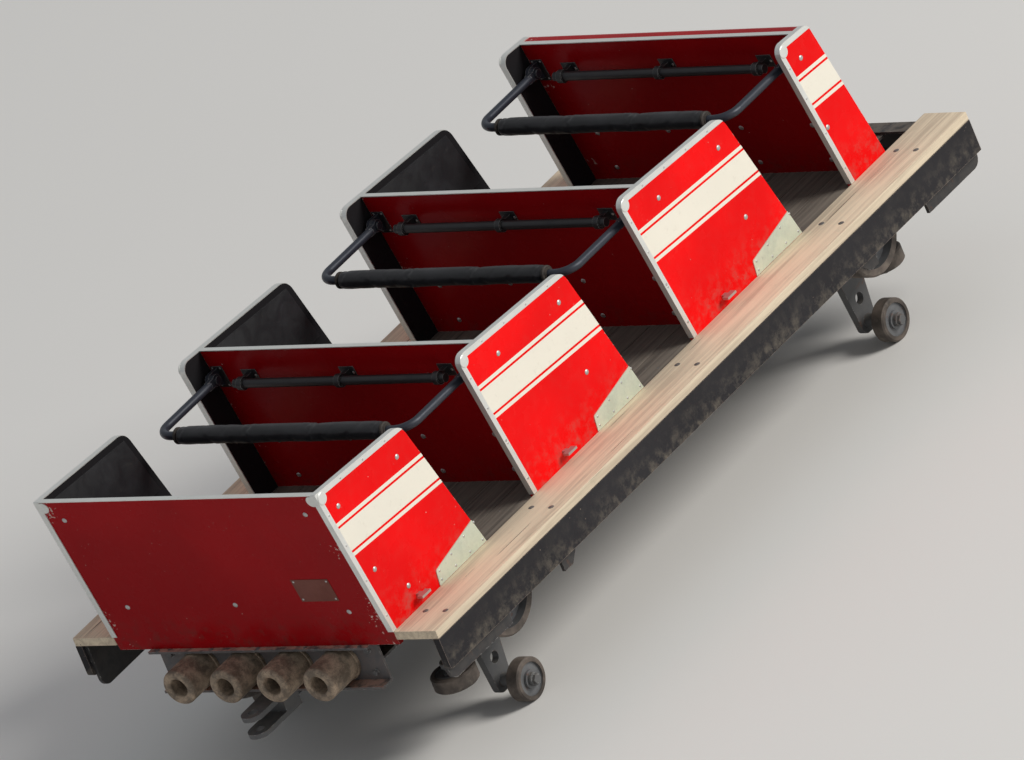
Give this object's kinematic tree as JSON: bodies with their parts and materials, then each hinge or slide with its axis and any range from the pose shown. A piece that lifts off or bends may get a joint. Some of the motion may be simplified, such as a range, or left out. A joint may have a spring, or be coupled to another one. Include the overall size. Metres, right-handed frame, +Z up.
{
  "type": "wooden roller coaster car",
  "caption": "Open three-bench car of a wooden roller coaster train, with lap bars, running boards and road, guide and upstop wheels for a flat-topped rail.",
  "frame": {"origin": "middle of the car's length and width, on the floor that the upstop wheels stand on", "axes": "+X in the direction of travel, +Y to the car's left, +Z up"},
  "size_m": [3.535, 1.48, 1.1032],
  "materials": {
    "red_paint": "glossy enamel",
    "dark_red_paint": "glossy enamel",
    "aluminium_trim": "worn satin",
    "weathered_wood": "weathered matt",
    "black_paint": "dusty satin",
    "steel": "greasy, worn",
    "dark_steel": "satin black",
    "black_vinyl": "grained vinyl",
    "buffer_rubber": "worn tan rubber",
    "wheel_tyre": "worn polyurethane"
  },
  "bodies": {
    "car": {"side_sills": "black_paint", "cross_members": "black_paint", "outriggers": "black_paint", "floor_deck": "weathered_wood", "running_board_left": "weathered_wood", "running_board_right": "weathered_wood", "fascia_left": "black_paint", "fascia_right": "black_paint", "side_plate_left": "black_paint", "side_plate_right": "black_paint", "rear_beam": "steel", "rear_buffers": "buffer_rubber", "front_beam": "black_paint", "rear_panel": "dark_red_paint", "seat_back_2": "dark_red_paint", "seat_back_3": "dark_red_paint", "dash": "dark_red_paint", "side_panels_left": "red_paint", "side_panels_right": "red_paint", "kick_plates": "aluminium_trim", "edge_trims": "aluminium_trim", "seat_boards": "weathered_wood", "seat_risers": "dark_red_paint", "seat_cushion_1": "black_vinyl", "seat_cushion_2": "black_vinyl", "seat_cushion_3": "black_vinyl", "back_cushions": "black_vinyl", "grab_bars": "dark_steel", "grab_bar_posts": "dark_steel", "lap_bar_brackets": "dark_steel", "release_pedals": "steel", "truck_brackets_front": "steel", "truck_brackets_rear": "steel", "rear_clevis": "steel", "chain_dogs": "steel"},
    "axle_front": {"wheelset_front": "wheel_tyre"},
    "axle_rear": {"wheelset_rear": "wheel_tyre"},
    "guide_fl": {"guide_wheel_fl": "wheel_tyre"},
    "guide_fr": {"guide_wheel_fr": "wheel_tyre"},
    "guide_rl": {"guide_wheel_rl": "wheel_tyre"},
    "guide_rr": {"guide_wheel_rr": "wheel_tyre"},
    "upstop_fl": {"upstop_wheel_fl": "wheel_tyre"},
    "upstop_fr": {"upstop_wheel_fr": "wheel_tyre"},
    "upstop_rl": {"upstop_wheel_rl": "wheel_tyre"},
    "upstop_rr": {"upstop_wheel_rr": "wheel_tyre"},
    "lap_bar_frame_1": {"lap_bar_1": "dark_steel", "lap_pad_1": "black_vinyl"},
    "lap_bar_frame_2": {"lap_bar_2": "dark_steel", "lap_pad_2": "black_vinyl"},
    "lap_bar_frame_3": {"lap_bar_3": "dark_steel", "lap_pad_3": "black_vinyl"},
    "drawbar_arm": {"drawbar": "steel"}
  },
  "joints": [
    {"name": "axle_front_spin", "type": "hinge", "parent": "car", "child": "axle_front", "pos_m": [1.0205, 0, 0.375], "axis": [0, 1, 0], "continuous": true},
    {"name": "axle_rear_spin", "type": "hinge", "parent": "car", "child": "axle_rear", "pos_m": [-1.0975, 0, 0.375], "axis": [0, 1, 0], "continuous": true},
    {"name": "guide_fl_spin", "type": "hinge", "parent": "car", "child": "guide_fl", "pos_m": [1.1955, 0.418, 0.1925], "axis": [0, 0, 1], "continuous": true},
    {"name": "upstop_fl_spin", "type": "hinge", "parent": "car", "child": "upstop_fl", "pos_m": [1.0205, 0.524, 0.07], "axis": [0, 1, 0], "continuous": true},
    {"name": "guide_fr_spin", "type": "hinge", "parent": "car", "child": "guide_fr", "pos_m": [1.1955, -0.418, 0.1925], "axis": [0, 0, 1], "continuous": true},
    {"name": "upstop_fr_spin", "type": "hinge", "parent": "car", "child": "upstop_fr", "pos_m": [1.0205, -0.524, 0.07], "axis": [0, 1, 0], "continuous": true},
    {"name": "guide_rl_spin", "type": "hinge", "parent": "car", "child": "guide_rl", "pos_m": [-1.2725, 0.418, 0.1925], "axis": [0, 0, 1], "continuous": true},
    {"name": "upstop_rl_spin", "type": "hinge", "parent": "car", "child": "upstop_rl", "pos_m": [-1.0975, 0.524, 0.07], "axis": [0, 1, 0], "continuous": true},
    {"name": "guide_rr_spin", "type": "hinge", "parent": "car", "child": "guide_rr", "pos_m": [-1.2725, -0.418, 0.1925], "axis": [0, 0, 1], "continuous": true},
    {"name": "upstop_rr_spin", "type": "hinge", "parent": "car", "child": "upstop_rr", "pos_m": [-1.0975, -0.524, 0.07], "axis": [0, 1, 0], "continuous": true},
    {"name": "lap_bar_1_hinge", "type": "hinge", "parent": "car", "child": "lap_bar_frame_1", "pos_m": [-0.8106, 0, 1.00388], "axis": [0, 1, 0], "range_deg": [0, 75]},
    {"name": "lap_bar_2_hinge", "type": "hinge", "parent": "car", "child": "lap_bar_frame_2", "pos_m": [0.1094, 0, 1.00388], "axis": [0, 1, 0], "range_deg": [0, 75]},
    {"name": "lap_bar_3_hinge", "type": "hinge", "parent": "car", "child": "lap_bar_frame_3", "pos_m": [1.0294, 0, 1.00388], "axis": [0, 1, 0], "range_deg": [0, 75]},
    {"name": "drawbar_swing", "type": "hinge", "parent": "car", "child": "drawbar_arm", "pos_m": [1.4265, 0, 0.317], "axis": [0, 0, 1], "range_deg": [-15, 15]}
  ]
}
